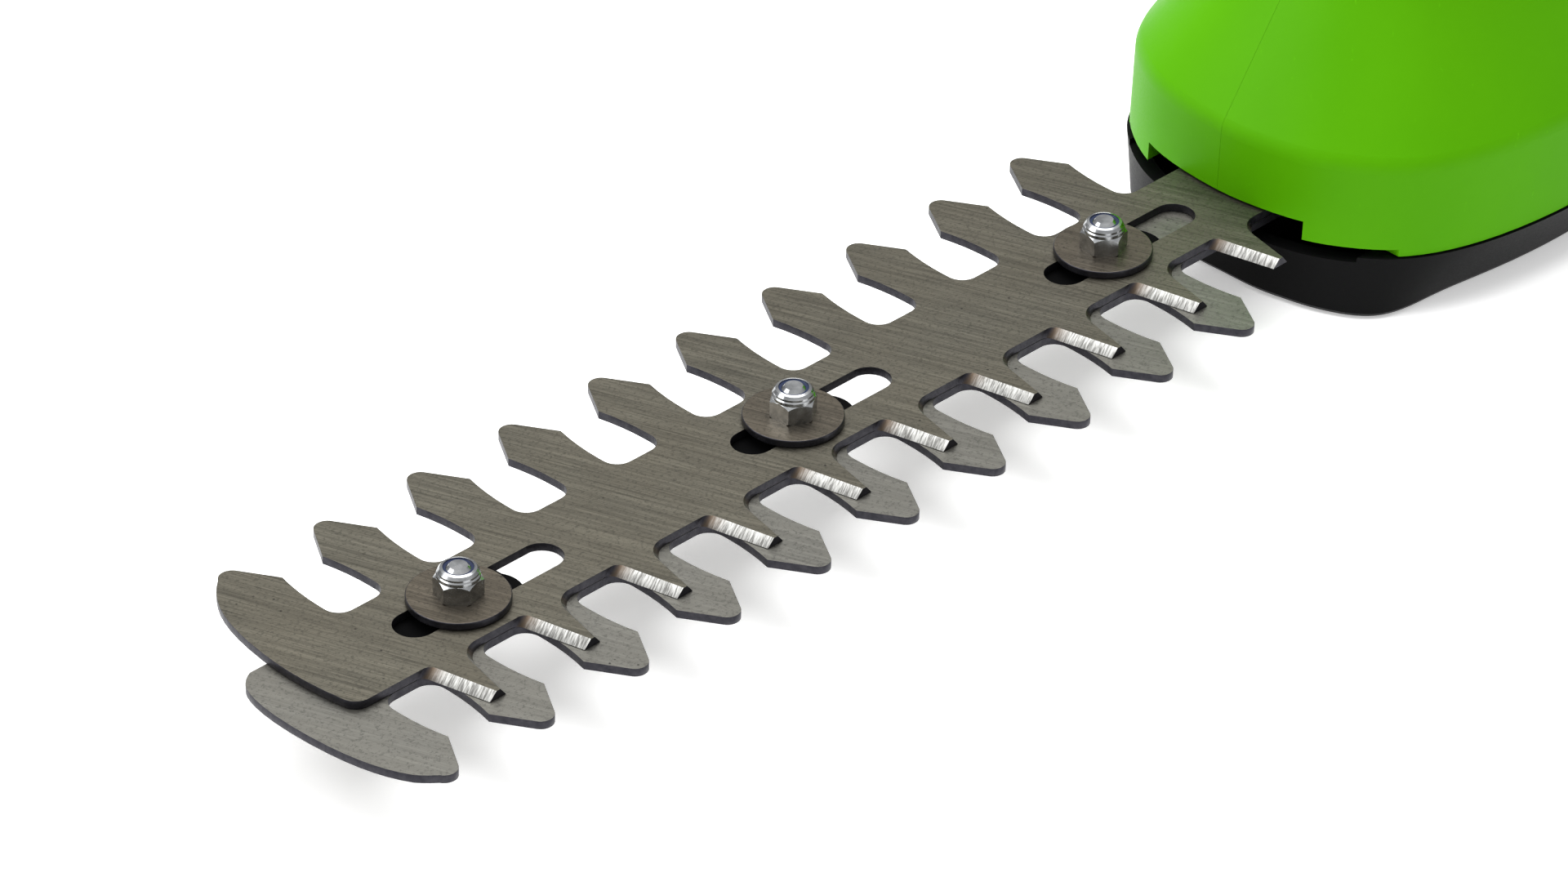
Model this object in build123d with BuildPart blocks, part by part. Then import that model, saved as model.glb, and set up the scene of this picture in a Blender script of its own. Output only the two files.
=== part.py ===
"""Hand-held cordless hedge trimmer with twin counter-moving blades.

Millimetres. +Z is up, +X runs from the blade nose towards the battery, and the
origin is on the flat underside of the head, on the drive gear's axis.
"""
import math
import os

from build123d import *

os.makedirs("parts", exist_ok=True)

# ---------------------------------------------------------------- blades
BLADE_TOP = 16.0
PLATE = 1.45
SHEAR_Z = 14.5
PLATE_GAP = 0.05
PITCH = 20.0
LONG_TEETH = 10
LONG_TIP_X = -239.7
SHORT_TIP_X = -230.6
LONG_TIP_Y = 31.2
LONG_SHOULDER_Y = 23.7
LONG_SHOULDER = 5.8
LONG_WAIST = 4.65
SHORT_TIP_Y = 21.7
SPINE = 9.65
STROKE = 9.0
THROW = STROKE / 2
SLOT_LENGTH = 34.2
SLOT_WIDTH = 7.15
SLOT_OFFSET = 4.25
LOWER_SLOT_WIDTH = 10.4
LOWER_SLOT_FRONT = -21.85
LOWER_SLOT_REAR = (25.5, 25.5, 12.4)
SHOE_LENGTH = 24.2
SHOE_WIDTH = 10.2
BOLT_X = (-218.55, -144.8, -71.05)
YOKE_X = 16.5
YOKE_Y = 19.8

# ------------------------------------------------------------- fasteners
WASHER_R = 8.35
WASHER_T = 1.3
BUSH_R = 3.4
BOLT_R = 2.0
NUT_FLATS = 7.0
NUT_HEX = 3.3
NUT_HEIGHT = 5.0
NUT_ANGLES = (12.0, 33.0, 20.0)

# --------------------------------------------------------- guide and base
GUIDE_TOP = 12.9
GUIDE_T = 2.0
GUIDE_NEAR_Y = -7.1
GUIDE_FAR_Y = 9.6
WINDOW_NEAR_Y = -0.8
WINDOW_FAR_Y = 7.4
BASE_TOP = 11.4
BASE_FLOOR = 2.5
BASE_WALL = 2.2

# ----------------------------------------------------------------- drive
MODULE = 1.0
GEAR_TEETH = 48
PINION_TEETH = 12
GEAR_LOW = 18.0
GEAR_HIGH = 26.0
CAM_R = 10.0
AXLE_R = 4.0
CENTRES = MODULE * (GEAR_TEETH + PINION_TEETH) / 2
FRAME_LOW = 28.0
FRAME_T = 3.0
POST_X = 18.0
POST_Y = 24.5
EAR_Y = 29.5
MOTOR_R = 13.85
MOTOR_LOW = FRAME_LOW + FRAME_T
MOTOR_L = 38.0

# --------------------------------------------------------------- housing
WALL = 2.5
HEAD_LOW = 11.7
HEAD_SHOULDER = 29.0
HEAD_CONE_TOP = 66.0
CONE_SLOPE = 0.7
HEAD_MID_X = 12.0
HEAD_HALF_L = 54.6
HEAD_HALF_W = 40.0
BODY_HALF = 19.0
FOOT_HALF = 27.0
FOOT_LOW = 2.0
FOOT_HIGH = 60.0
FOOT_FRONT_X = 142.0
SOCKET_X = 153.0
PACK_SPLIT_X = 205.0
PACK_END_X = 238.0
SEAM = 0.02
CREASE_R = 5.0


def head_outline(inset):
    """Closed plan of the head as spline points, drawn in by the inset."""
    half = [
        (-42.6, 0.0),
        (-41.8, 9.5),
        (-39.4, 18.5),
        (-35.4, 25.4),
        (-30.4, 30.9),
        (-23.5, 34.9),
        (-10.0, 38.6),
        (8.0, 40.0),
        (28.0, 38.0),
        (46.0, 31.0),
        (59.0, 19.5),
        (65.0, 9.0),
        (66.6, 0.0),
    ]
    scale_x = (HEAD_HALF_L - inset) / HEAD_HALF_L
    scale_y = (HEAD_HALF_W - inset) / HEAD_HALF_W
    full = half + [(x, -y) for x, y in half[-2:0:-1]]
    return [(HEAD_MID_X + (x - HEAD_MID_X) * scale_x, y * scale_y) for x, y in full]


def base_outline(inset):
    """Closed plan of the base's underside as spline points.

    The corner beside the blade is squarer on the -Y side than on the +Y side.
    """
    near = [
        (-42.0, -9.5),
        (-41.0, -15.0),
        (-40.1, -18.8),
        (-38.9, -22.2),
        (-36.9, -26.1),
        (-33.8, -29.4),
        (-29.0, -31.2),
        (-21.5, -31.9),
    ]
    far = [
        (-41.6, 9.5),
        (-40.3, 15.0),
        (-38.9, 18.8),
        (-37.2, 22.2),
        (-34.9, 25.7),
        (-31.8, 28.6),
        (-27.6, 30.6),
        (-21.5, 31.9),
    ]
    rear = [
        (-8.0, 33.6),
        (8.0, 34.8),
        (28.0, 33.4),
        (46.0, 27.4),
        (58.0, 17.3),
        (63.6, 8.0),
    ]
    full = [(-42.2, 0.0)] + far + rear + [(65.0, 0.0)]
    full += [(x, -y) for x, y in reversed(rear)] + list(reversed(near))
    scale_x = (HEAD_HALF_L - 1.2 - inset) / (HEAD_HALF_L - 1.2)
    scale_y = (HEAD_HALF_W - 3.5 - inset) / (HEAD_HALF_W - 3.5)
    return [(HEAD_MID_X + (x - HEAD_MID_X) * scale_x, y * scale_y) for x, y in full]


def gear_outline(teeth, first_angle, thin):
    """Closed list of points of a short-addendum spur gear."""
    pitch_r = MODULE * teeth / 2
    base_r = pitch_r * math.cos(math.radians(20))
    radii = [pitch_r - 1.0, max(base_r, pitch_r - 0.95), pitch_r, pitch_r + 0.75]
    half = (math.pi * MODULE / 2 - thin) / 2 / pitch_r
    inv_pitch = math.tan(math.radians(20)) - math.radians(20)
    side = []
    for radius in radii:
        angle = math.acos(min(1.0, base_r / max(radius, base_r)))
        side.append((radius, half + inv_pitch - (math.tan(angle) - angle)))
    points = []
    for tooth in range(teeth):
        centre = math.radians(first_angle) + 2 * math.pi * tooth / teeth
        for radius, turn in side:
            points.append((radius * math.cos(centre - turn), radius * math.sin(centre - turn)))
        for radius, turn in reversed(side):
            points.append((radius * math.cos(centre + turn), radius * math.sin(centre + turn)))
    return points


# ================================================================ blades
# One stamping, shear face at z = 0, long blunt teeth on +Y.
with BuildSketch() as long_tooth:
    with BuildLine():
        Line((-LONG_WAIST, 8.0), (-LONG_WAIST, 14.0))
        ThreePointArc((-LONG_WAIST, 14.0), (-LONG_WAIST - 0.3, 18.9), (-LONG_SHOULDER, LONG_SHOULDER_Y))
        Line((-LONG_SHOULDER, LONG_SHOULDER_Y), (-1.9, 30.1))
        ThreePointArc((-1.9, 30.1), (0, LONG_TIP_Y), (1.9, 30.1))
        Line((1.9, 30.1), (LONG_SHOULDER, LONG_SHOULDER_Y))
        ThreePointArc((LONG_SHOULDER, LONG_SHOULDER_Y), (LONG_WAIST + 0.3, 18.9), (LONG_WAIST, 14.0))
        Line((LONG_WAIST, 14.0), (LONG_WAIST, 8.0))
        Line((LONG_WAIST, 8.0), (-LONG_WAIST, 8.0))
    make_face()

with BuildSketch() as nose:
    with BuildLine():
        Spline((LONG_TIP_X - 1.9, 30.1), (-246.1, 24.8), (-249.4, 14.0), (-250.2, 3.0), (-249.2, -7.0))
        ThreePointArc((-249.2, -7.0), (-248.3, -8.8), (-246.4, -SPINE))
        Line((-246.4, -SPINE), (LONG_TIP_X + LONG_WAIST, -SPINE))
        Line((LONG_TIP_X + LONG_WAIST, -SPINE), (LONG_TIP_X + LONG_WAIST, 14.0))
        ThreePointArc(
            (LONG_TIP_X + LONG_WAIST, 14.0),
            (LONG_TIP_X + LONG_WAIST + 0.3, 18.9),
            (LONG_TIP_X + LONG_SHOULDER, LONG_SHOULDER_Y),
        )
        Line((LONG_TIP_X + LONG_SHOULDER, LONG_SHOULDER_Y), (LONG_TIP_X + 1.9, 30.1))
        ThreePointArc((LONG_TIP_X + 1.9, 30.1), (LONG_TIP_X, LONG_TIP_Y), (LONG_TIP_X - 1.9, 30.1))
    make_face()

# Short ground teeth with a piece of the spine's edge, wide at the shear face
# and narrower at the top face. The root behind each tooth has a large radius.
with BuildSketch() as short_core:
    with BuildLine():
        Polyline(
            (-6.5, -8.0),
            (-6.5, -SPINE),
            (-3.1, -SPINE),
            (-0.4, -SHORT_TIP_Y),
            (0.4, -SHORT_TIP_Y),
            (3.1, -SPINE),
            (9.0, -SPINE),
            (9.0, -8.0),
            close=True,
        )
    make_face()
    fillet([v for v in short_core.vertices() if abs(v.X - 3.1) < 0.01], radius=4.4)
    fillet([v for v in short_core.vertices() if abs(v.X + 3.1) < 0.01], radius=1.6)

with BuildSketch() as short_foot:
    with BuildLine():
        Polyline(
            (-6.6, -8.0),
            (-6.6, -SPINE),
            (-4.7, -SPINE),
            (-1.8, -SHORT_TIP_Y),
            (1.6, -SHORT_TIP_Y),
            (4.3, -SPINE),
            (9.1, -SPINE),
            (9.1, -8.0),
            close=True,
        )
    make_face()
    fillet([v for v in short_foot.vertices() if abs(v.X - 4.3) < 0.01], radius=4.4)
    fillet([v for v in short_foot.vertices() if abs(v.X + 4.7) < 0.01], radius=1.6)

with BuildSketch() as blade_plan:
    add(nose.sketch)
    with Locations((-121.0, 0)):
        Rectangle(240.0, 2 * SPINE)
    with Locations([(LONG_TIP_X + PITCH * k, 0) for k in range(1, LONG_TEETH)]):
        add(long_tooth.sketch)
    with Locations([(SHORT_TIP_X + PITCH * k, 0) for k in range(LONG_TEETH)]):
        add(short_core.sketch)
    gullet_corners = [
        corner
        for corner in blade_plan.vertices()
        if abs(corner.Y - SPINE) < 0.01 and -237.0 < corner.X < -45.0
    ]
    fillet(gullet_corners, radius=3.0)
    with Locations((THROW, 0)):
        RectangleRounded(2 * YOKE_X, 2 * YOKE_Y, 11.0)
    with Locations((THROW, 0)):
        SlotOverall(2 * CAM_R + 2 * THROW + 1.0, 2 * CAM_R + 2.2, rotation=90, mode=Mode.SUBTRACT)

with BuildPart() as short_bevels:
    for k in range(LONG_TEETH):
        with BuildSketch(Plane((SHORT_TIP_X + PITCH * k, 0, 0))):
            add(short_foot.sketch)
        with BuildSketch(Plane((SHORT_TIP_X + PITCH * k, 0, PLATE))):
            add(short_core.sketch)
        loft()

with BuildPart() as blade_blank:
    with BuildSketch():
        add(blade_plan.sketch)
    extrude(amount=PLATE)
    add(short_bevels.part)

with BuildPart() as upper_blade:
    with Locations((0, 0, SHEAR_Z + PLATE_GAP)):
        add(blade_blank.part)
    with BuildSketch(Plane.XY.offset(SHEAR_Z)):
        with Locations([(x + SLOT_OFFSET, 0) for x in BOLT_X]):
            SlotOverall(SLOT_LENGTH, SLOT_WIDTH)
    extrude(amount=5, mode=Mode.SUBTRACT)
upper_blade.part.label = "upper_blade"
export_step(upper_blade.part, "parts/upper_blade.step")

# The lower plate is the same stamping turned over and set one stroke ahead. Its
# nose is a little shorter, and its slots are wider for the guide shoes. The two
# front slots run further back.
with BuildSketch() as nose_trim:
    with BuildLine():
        Spline(
            (-251.5, 10.2),
            (-253.6, 9.5),
            (-255.9, 7.7),
            (-257.3, 4.4),
            (-258.0, -0.5),
            (-258.1, -6.0),
            (-257.5, -14.0),
            (-254.9, -24.4),
            (-249.9, -31.6),
        )
        Polyline(
            (-249.9, -31.6),
            (-270.0, -31.6),
            (-270.0, 14.0),
            (-251.5, 14.0),
            (-251.5, 10.2),
        )
    make_face()

with BuildPart() as lower_blade:
    with Locations((-STROKE, 0, SHEAR_Z - PLATE_GAP)):
        add(blade_blank.part, rotation=(180, 0, 0))
    with BuildSketch(Plane.XY.offset(SHEAR_Z)):
        for x, rear in zip(BOLT_X, LOWER_SLOT_REAR):
            with Locations((x + (LOWER_SLOT_FRONT + rear) / 2, 0)):
                SlotOverall(rear - LOWER_SLOT_FRONT, LOWER_SLOT_WIDTH)
        add(nose_trim.sketch)
    extrude(amount=-5, mode=Mode.SUBTRACT)
lower_blade.part.label = "lower_blade"
export_step(lower_blade.part, "parts/lower_blade.step")

# Stamped guide bar: a strip under the blades with one long window behind each
# front bolt. It widens into a plate below the yokes.
GUIDE_MID_Y = (GUIDE_NEAR_Y + GUIDE_FAR_Y) / 2
GUIDE_WIDTH = GUIDE_FAR_Y - GUIDE_NEAR_Y
WINDOW_MID_Y = (WINDOW_NEAR_Y + WINDOW_FAR_Y) / 2
with BuildPart() as guide_bar:
    with BuildSketch(Plane.XY.offset(GUIDE_TOP)):
        with Locations((-129.0, GUIDE_MID_Y)):
            RectangleRounded(208.0, GUIDE_WIDTH, 6.0)
        RectangleRounded(46.0, 58.0, 4.0)
        with Locations((-35.0, GUIDE_MID_Y)):
            Rectangle(40.0, GUIDE_WIDTH)
        with Locations([(x + 38.0, WINDOW_MID_Y) for x in BOLT_X[:2]]):
            RectangleRounded(50.0, WINDOW_FAR_Y - WINDOW_NEAR_Y, 1.5, mode=Mode.SUBTRACT)
        with Locations([(x, 0) for x in BOLT_X]):
            Circle(BOLT_R + 0.1, mode=Mode.SUBTRACT)
        Circle(6.0, mode=Mode.SUBTRACT)
        with Locations([(sx * POST_X, sy * POST_Y) for sx in (-1, 1) for sy in (-1, 1)]):
            Circle(1.6, mode=Mode.SUBTRACT)
    extrude(amount=-GUIDE_T)
guide_bar.part.label = "guide_bar"
export_step(guide_bar.part, "parts/guide_bar.step")

# ======================================================== blade fasteners
BOLT_LOW = GUIDE_TOP - GUIDE_T
WASHER_LOW = BLADE_TOP + 0.1
NUT_LOW = WASHER_LOW + WASHER_T
with BuildPart() as blade_bolts:
    with BuildSketch(Plane.XY.offset(BOLT_LOW)):
        with Locations([(x, 0) for x in BOLT_X]):
            Circle(3.9)
    extrude(amount=-2.4)
    with BuildSketch(Plane.XY.offset(BOLT_LOW)):
        with Locations([(x, 0) for x in BOLT_X]):
            Circle(BOLT_R)
    extrude(amount=NUT_LOW + NUT_HEIGHT + 0.3 - BOLT_LOW)
    chamfer(blade_bolts.edges().group_by(Axis.Z)[-1], length=0.5)
    with BuildSketch(Plane.XY.offset(BOLT_LOW - 2.4)):
        with Locations([(x, 0) for x in BOLT_X]):
            RegularPolygon(1.45, 6)
    extrude(amount=1.4, mode=Mode.SUBTRACT)
blade_bolts.part.label = "blade_bolts"
export_step(blade_bolts.part, "parts/blade_bolts.step")

with BuildPart() as bolt_bushes:
    with BuildSketch(Plane.XY.offset(GUIDE_TOP)):
        with Locations([(x, 0) for x in BOLT_X]):
            Circle(BUSH_R)
            Circle(BOLT_R + 0.05, mode=Mode.SUBTRACT)
    extrude(amount=WASHER_LOW - GUIDE_TOP)
bolt_bushes.part.label = "bolt_bushes"
export_step(bolt_bushes.part, "parts/bolt_bushes.step")

# Black nylon shoes that fill the lower plate's slots and keep it in line.
with BuildPart() as guide_shoes:
    with BuildSketch(Plane.XY.offset(GUIDE_TOP)):
        with Locations([(x, 0) for x in BOLT_X]):
            SlotOverall(SHOE_LENGTH, SHOE_WIDTH)
            Circle(BUSH_R + 0.05, mode=Mode.SUBTRACT)
    extrude(amount=SHEAR_Z - PLATE_GAP - GUIDE_TOP)
guide_shoes.part.label = "guide_shoes"
export_step(guide_shoes.part, "parts/guide_shoes.step")

with BuildPart() as blade_washers:
    with BuildSketch(Plane.XY.offset(WASHER_LOW)):
        with Locations([(x, 0) for x in BOLT_X]):
            Circle(WASHER_R)
            Circle(BOLT_R + 0.1, mode=Mode.SUBTRACT)
    extrude(amount=WASHER_T)
    fillet(blade_washers.edges().filter_by(GeomType.CIRCLE).group_by(SortBy.RADIUS)[-1], radius=0.2)
blade_washers.part.label = "blade_washers"
export_step(blade_washers.part, "parts/blade_washers.step")

# Lock nuts: a hexagon with a turned top chamfer and a round collar that holds a
# nylon ring.
with BuildPart() as nut_turning:
    with BuildSketch(Plane.XZ):
        with BuildLine():
            Polyline(
                (0, 0),
                (3.8, 0),
                (4.1, 0.35),
                (4.1, NUT_HEX - 0.55),
                (3.5, NUT_HEX),
                (3.5, NUT_HEX + 0.55),
                (3.3, NUT_HEX + 0.75),
                (3.3, NUT_HEIGHT - 0.6),
                (2.95, NUT_HEIGHT - 0.15),
                (2.5, NUT_HEIGHT),
                (0, NUT_HEIGHT),
                close=True,
            )
        make_face()
    revolve(axis=Axis.Z)

with BuildPart() as lock_nut:
    with BuildSketch():
        RegularPolygon(NUT_FLATS / 2, 6, major_radius=False)
    extrude(amount=NUT_HEIGHT)
    add(nut_turning.part, mode=Mode.INTERSECT)
    with BuildSketch():
        Circle(BOLT_R + 0.05)
    extrude(amount=NUT_HEIGHT, mode=Mode.SUBTRACT)
    with BuildSketch(Plane.XY.offset(NUT_HEX + 0.3)):
        Circle(2.5)
    extrude(amount=NUT_HEIGHT, mode=Mode.SUBTRACT)

with BuildPart() as lock_nuts:
    for x, turn in zip(BOLT_X, NUT_ANGLES):
        with Locations(Location((x, 0, NUT_LOW), (0, 0, turn))):
            add(lock_nut.part)
lock_nuts.part.label = "lock_nuts"
export_step(lock_nuts.part, "parts/lock_nuts.step")

with BuildPart() as nut_rings:
    with BuildSketch(Plane.XY.offset(NUT_LOW + NUT_HEX + 0.3)):
        with Locations([(x, 0) for x in BOLT_X]):
            Circle(2.5)
            Circle(BOLT_R, mode=Mode.SUBTRACT)
    extrude(amount=1.2)
nut_rings.part.label = "nut_rings"
export_step(nut_rings.part, "parts/nut_rings.step")

# ================================================================= drive
# The spur gear carries two eccentric discs, half a turn apart, on one axle.
with BuildPart() as drive_gear:
    with BuildSketch(Plane.XY.offset(GEAR_LOW)):
        with BuildLine():
            Polyline(*gear_outline(GEAR_TEETH, 0.0, 0.25), close=True)
        make_face()
        Circle(AXLE_R, mode=Mode.SUBTRACT)
        with PolarLocations(14.5, 6):
            Circle(4.0, mode=Mode.SUBTRACT)
    extrude(amount=GEAR_HIGH - GEAR_LOW)
    with BuildSketch(Plane.XY.offset(GEAR_LOW)):
        Circle(8.0)
        Circle(AXLE_R, mode=Mode.SUBTRACT)
    extrude(amount=-1.5)
drive_gear.part.label = "drive_gear"
export_step(drive_gear.part, "parts/drive_gear.step")

with BuildPart() as upper_cam:
    with BuildSketch(Plane.XY.offset(SHEAR_Z)):
        with Locations((THROW, 0)):
            Circle(CAM_R)
        Circle(AXLE_R, mode=Mode.SUBTRACT)
    extrude(amount=GEAR_LOW - 1.5 - SHEAR_Z)
upper_cam.part.label = "upper_cam"
export_step(upper_cam.part, "parts/upper_cam.step")

with BuildPart() as lower_cam:
    with BuildSketch(Plane.XY.offset(SHEAR_Z)):
        with Locations((-THROW, 0)):
            Circle(CAM_R)
        Circle(AXLE_R, mode=Mode.SUBTRACT)
    extrude(amount=-1.45)
lower_cam.part.label = "lower_cam"
export_step(lower_cam.part, "parts/lower_cam.step")

with BuildPart() as gear_axle:
    with BuildSketch(Plane.XY.offset(9.2)):
        Circle(AXLE_R)
    extrude(amount=35.6 - 9.2)
    chamfer(gear_axle.edges().filter_by(GeomType.CIRCLE), length=0.4)
gear_axle.part.label = "gear_axle"
export_step(gear_axle.part, "parts/gear_axle.step")

with BuildPart() as lower_bush:
    with BuildSketch(Plane.XY.offset(GUIDE_TOP)):
        Circle(6.0)
        Circle(AXLE_R + 0.04, mode=Mode.SUBTRACT)
    extrude(amount=-4.4)
    with BuildSketch(Plane.XY.offset(GUIDE_TOP - GUIDE_T)):
        Circle(7.5)
        Circle(AXLE_R + 0.04, mode=Mode.SUBTRACT)
    extrude(amount=-1.2)
lower_bush.part.label = "lower_bush"
export_step(lower_bush.part, "parts/lower_bush.step")

with BuildPart() as upper_bearing:
    with BuildSketch(Plane.XY.offset(FRAME_LOW + 0.6)):
        Circle(11.0)
        Circle(AXLE_R + 0.04, mode=Mode.SUBTRACT)
    extrude(amount=7.0)
    with BuildSketch(Plane.XY.offset(FRAME_LOW + 7.6)):
        Circle(9.2)
        Circle(6.0, mode=Mode.SUBTRACT)
    extrude(amount=-0.5, mode=Mode.SUBTRACT)
upper_bearing.part.label = "upper_bearing"
export_step(upper_bearing.part, "parts/upper_bearing.step")

# Die-cast frame plate over the gear, with a bearing cup and the motor seat.
with BuildPart() as gear_frame:
    with BuildSketch(Plane.XY.offset(FRAME_LOW)):
        RectangleRounded(48.0, 58.0, 8.0)
        with Locations((26.0, 0)):
            Rectangle(28.0, 30.0)
        with Locations((CENTRES + 6.0, 0)):
            Circle(17.0)
        Rectangle(16.0, 66.0)
    extrude(amount=FRAME_T)
    with BuildSketch(Plane.XY.offset(FRAME_LOW)):
        Circle(13.5)
    extrude(amount=8.0)
    with BuildSketch(Plane.XY.offset(FRAME_LOW)):
        Circle(9.0)
    extrude(amount=9.0, mode=Mode.SUBTRACT)
    with BuildSketch(Plane.XY.offset(FRAME_LOW + 0.6)):
        Circle(11.0)
    extrude(amount=9.0, mode=Mode.SUBTRACT)
    with BuildSketch(Plane.XY.offset(MOTOR_LOW)):
        with Locations((CENTRES, 0)):
            Circle(MOTOR_R + 0.3)
    extrude(amount=9.0, mode=Mode.SUBTRACT)
    with BuildSketch(Plane.XY.offset(FRAME_LOW)):
        with Locations((CENTRES, 0)):
            Circle(7.6)
        with Locations([(CENTRES, 10.6), (CENTRES, -10.6)]):
            Circle(1.4)
        with Locations([(sx * POST_X, sy * POST_Y) for sx in (-1, 1) for sy in (-1, 1)]):
            Circle(1.5)
        with Locations([(0, EAR_Y), (0, -EAR_Y)]):
            Circle(1.6)
    extrude(amount=FRAME_T, mode=Mode.SUBTRACT)
gear_frame.part.label = "gear_frame"
export_step(gear_frame.part, "parts/gear_frame.step")

with BuildPart() as frame_posts:
    with BuildSketch(Plane.XY.offset(GUIDE_TOP)):
        with Locations([(sx * POST_X, sy * POST_Y) for sx in (-1, 1) for sy in (-1, 1)]):
            Circle(3.2)
            Circle(1.6, mode=Mode.SUBTRACT)
    extrude(amount=FRAME_LOW - GUIDE_TOP)
frame_posts.part.label = "frame_posts"
export_step(frame_posts.part, "parts/frame_posts.step")

with BuildPart() as frame_screws:
    with BuildSketch(Plane.XY.offset(GUIDE_TOP - GUIDE_T)):
        with Locations([(sx * POST_X, sy * POST_Y) for sx in (-1, 1) for sy in (-1, 1)]):
            Circle(2.8)
    extrude(amount=-2.0)
    with BuildSketch(Plane.XY.offset(GUIDE_TOP - GUIDE_T)):
        with Locations([(sx * POST_X, sy * POST_Y) for sx in (-1, 1) for sy in (-1, 1)]):
            Circle(1.5)
    extrude(amount=FRAME_LOW + FRAME_T - 0.3 - GUIDE_TOP + GUIDE_T)
frame_screws.part.label = "frame_screws"
export_step(frame_screws.part, "parts/frame_screws.step")

# Motor: steel can, end cap with terminals, and the turning shaft with pinion.
with BuildPart() as motor_can:
    with BuildSketch(Plane.XY.offset(MOTOR_LOW)):
        with Locations((CENTRES, 0)):
            Circle(MOTOR_R)
    extrude(amount=MOTOR_L)
    fillet(motor_can.edges().group_by(Axis.Z)[0], radius=1.0)
    with BuildSketch(Plane.XY.offset(MOTOR_LOW + 2.0)):
        with Locations((CENTRES, 0)):
            Circle(MOTOR_R - 1.2)
    extrude(amount=MOTOR_L, mode=Mode.SUBTRACT)
    with BuildSketch(Plane.XY.offset(MOTOR_LOW)):
        with Locations((CENTRES, 0)):
            Circle(1.65)
        with Locations([(CENTRES, 10.6), (CENTRES, -10.6)]):
            Circle(1.3)
    extrude(amount=3.0, mode=Mode.SUBTRACT)
motor_can.part.label = "motor_can"
export_step(motor_can.part, "parts/motor_can.step")

with BuildPart() as motor_cap:
    with BuildSketch(Plane.XY.offset(MOTOR_LOW + MOTOR_L)):
        with Locations((CENTRES, 0)):
            Circle(MOTOR_R - 0.4)
    extrude(amount=3.0)
    fillet(motor_cap.edges().group_by(Axis.Z)[-1], radius=1.0)
    with BuildSketch(Plane.XY.offset(MOTOR_LOW + MOTOR_L + 3.0)):
        with Locations([(CENTRES, 8.5), (CENTRES, -8.5)]):
            Rectangle(3.0, 0.8)
    extrude(amount=3.5)
    with BuildSketch(Plane.XY.offset(MOTOR_LOW + MOTOR_L)):
        with Locations((CENTRES, 0)):
            Circle(1.65)
    extrude(amount=3.0, mode=Mode.SUBTRACT)
motor_cap.part.label = "motor_cap"
export_step(motor_cap.part, "parts/motor_cap.step")

with BuildPart() as motor_screws:
    with BuildSketch(Plane.XY.offset(FRAME_LOW)):
        with Locations([(CENTRES, 10.6), (CENTRES, -10.6)]):
            Circle(2.6)
    extrude(amount=-1.4)
    with BuildSketch(Plane.XY.offset(FRAME_LOW)):
        with Locations([(CENTRES, 10.6), (CENTRES, -10.6)]):
            Circle(1.25)
    extrude(amount=4.6)
motor_screws.part.label = "motor_screws"
export_step(motor_screws.part, "parts/motor_screws.step")

with BuildPart() as motor_rotor:
    with BuildSketch(Plane.XY.offset(GEAR_LOW - 1.0)):
        with Locations((CENTRES, 0)):
            Circle(1.6)
    extrude(amount=MOTOR_LOW + MOTOR_L + 2.4 - GEAR_LOW + 1.0)
    with BuildSketch(Plane.XY.offset(MOTOR_LOW + 4.0)):
        with Locations((CENTRES, 0)):
            Circle(10.5)
    extrude(amount=26.0)
motor_rotor.part.label = "motor_rotor"
export_step(motor_rotor.part, "parts/motor_rotor.step")

with BuildPart() as pinion:
    with BuildSketch(Plane((CENTRES, 0, GEAR_LOW - 0.5))):
        with BuildLine():
            Polyline(*gear_outline(PINION_TEETH, 15.0, 0.25), close=True)
        make_face()
        Circle(1.6, mode=Mode.SUBTRACT)
    extrude(amount=GEAR_HIGH - GEAR_LOW + 1.0)
pinion.part.label = "pinion"
export_step(pinion.part, "parts/pinion.step")

# =============================================================== housing
# The solid outer form: a straight-walled round nose with a cone above it, the
# neck and grip in side profile, and the foot that takes the battery pack.
HEAD_TOP_INSET = 0.4 + CONE_SLOPE * (HEAD_CONE_TOP - HEAD_SHOULDER)
with BuildPart() as head_outer:
    with BuildSketch(Plane.XY.offset(HEAD_LOW)):
        with BuildLine():
            Spline(*head_outline(0.0), periodic=True)
        make_face()
    with BuildSketch(Plane.XY.offset(HEAD_SHOULDER)):
        with BuildLine():
            Spline(*head_outline(0.4), periodic=True)
        make_face()
    loft(ruled=True)
    with BuildSketch(Plane.XY.offset(HEAD_SHOULDER)):
        with BuildLine():
            Spline(*head_outline(0.4), periodic=True)
        make_face()
    with BuildSketch(Plane.XY.offset(HEAD_CONE_TOP)):
        with BuildLine():
            Spline(*head_outline(HEAD_TOP_INSET), periodic=True)
        make_face()
    loft(ruled=True)
    crease = [e for e in head_outer.edges() if abs(e.center().Z - HEAD_SHOULDER) < 0.01]
    fillet(crease, radius=CREASE_R)

HEAD_INNER_TOP = 62.0
HEAD_INNER_INSET = 3.45 + CONE_SLOPE * (HEAD_INNER_TOP - HEAD_SHOULDER)
with BuildPart() as head_inner:
    with BuildSketch(Plane.XY.offset(HEAD_LOW - 1.0)):
        with BuildLine():
            Spline(*head_outline(WALL + 0.1), periodic=True)
        make_face()
    with BuildSketch(Plane.XY.offset(HEAD_SHOULDER - 1.0)):
        with BuildLine():
            Spline(*head_outline(3.2), periodic=True)
        make_face()
    loft(ruled=True)
    with BuildSketch(Plane.XY.offset(HEAD_SHOULDER - 1.0)):
        with BuildLine():
            Spline(*head_outline(3.2), periodic=True)
        make_face()
    with BuildSketch(Plane.XY.offset(HEAD_INNER_TOP)):
        with BuildLine():
            Spline(*head_outline(HEAD_INNER_INSET), periodic=True)
        make_face()
    loft(ruled=True)

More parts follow.
